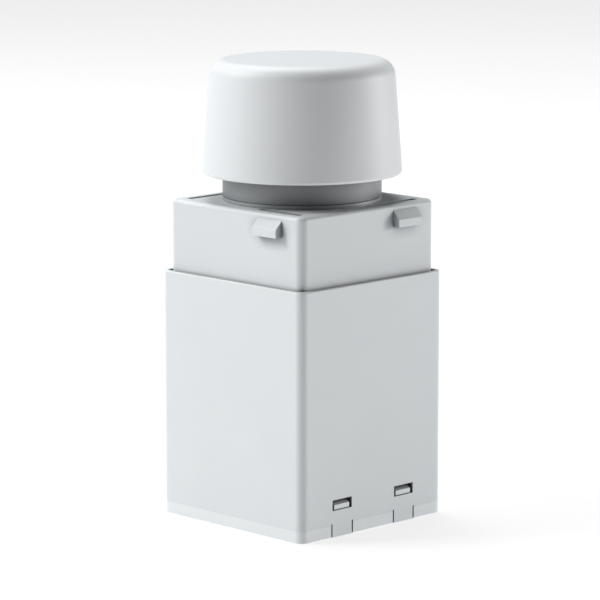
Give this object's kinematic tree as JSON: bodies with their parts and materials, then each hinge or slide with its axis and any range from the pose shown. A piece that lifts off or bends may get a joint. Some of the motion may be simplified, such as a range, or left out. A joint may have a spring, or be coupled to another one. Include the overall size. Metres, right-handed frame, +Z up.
{
  "type": "motorised valve actuator head",
  "caption": "Square motorised head for a heating or zone valve, with a round hand knob on top, snap catches, and a geared motor that pushes a stem out of its base.",
  "frame": {"origin": "centre of the base's underside, where the head stands", "axes": "+Z up along the knob's axis; -Y is the front, and the snap windows of the base are on the +X and -X faces, with the cable socket on -X"},
  "size_m": [0.0614, 0.0614, 0.1382],
  "materials": {
    "casing": "fine satin",
    "knob": "satin",
    "base": "fine satin",
    "collar": "satin",
    "acetal": "smooth",
    "steel": "zinc plated",
    "brass": "turned",
    "rubber": "matt",
    "board": "solder resist",
    "black_plastic": "moulded"
  },
  "bodies": {
    "body": {"base_plate": "base", "outer_sleeve": "casing", "upper_housing": "casing", "neck_collar": "collar", "deck_bearing": "acetal", "stem_guide": "acetal", "socket_gasket": "rubber", "retaining_ring": "steel", "lower_bearing": "acetal", "upper_bearing": "acetal", "gear_plate_lower": "steel", "gear_plate_upper": "steel", "plate_spacer_1": "steel", "plate_spacer_2": "steel", "plate_spacer_3": "steel", "plate_spacer_4": "steel", "through_screw_1": "steel", "through_screw_2": "steel", "through_screw_3": "steel", "through_screw_4": "steel", "idler_pin": "steel", "motor_case": "steel", "motor_screw_1": "steel", "motor_screw_2": "steel", "circuit_board": "board", "driver_chip": "black_plastic", "relay": "black_plastic", "board_header": "collar", "capacitor": "black_plastic", "cable_socket": "black_plastic", "contact_pin_1": "brass", "contact_pin_2": "brass", "contact_pin_3": "brass"},
    "drive": {"drive_shaft": "steel", "drive_nut": "brass", "drive_gear": "acetal", "shaft_clip": "steel", "return_spring": "steel"},
    "knob": {"knob_cap": "knob", "knob_hub": "acetal"},
    "stem": {"output_stem": "steel", "pressure_foot": "steel"},
    "idler": {"idler_gear": "acetal", "idler_pinion": "acetal"},
    "motor_rotor": {"motor_shaft": "steel", "motor_pinion": "brass"}
  },
  "joints": [
    {"name": "drive_turn", "type": "hinge", "parent": "body", "child": "drive", "pos_m": [0, 0, 0.05], "axis": [0, 0, 1], "range_deg": [0, 660]},
    {"name": "knob_press", "type": "slide", "parent": "drive", "child": "knob", "axis": [0, 0, -1], "range_m": [0, 0.004], "stiffness_N_per_m": 600, "springref_m": -0.003, "deforming": ["return_spring"]},
    {"name": "stem_slide", "type": "slide", "parent": "body", "child": "stem", "axis": [0, 0, -1], "range_m": [0, 0.0056]},
    {"name": "idler_turn", "type": "hinge", "parent": "body", "child": "idler", "pos_m": [0.01414, 0.01414, 0.03], "axis": [0, 0, 1], "range_deg": [-2095, 0]},
    {"name": "motor_turn", "type": "hinge", "parent": "body", "child": "motor_rotor", "pos_m": [0.0176, -0.00025, 0.035], "axis": [0, 0, 1], "range_deg": [0, 4360]}
  ],
  "couplings": [
    {"joint": "stem_slide", "follows": "drive_turn", "m_per_rad": 0.00047746},
    {"joint": "idler_turn", "follows": "drive_turn", "ratio": -3.1667},
    {"joint": "motor_turn", "follows": "drive_turn", "ratio": 6.5972}
  ]
}
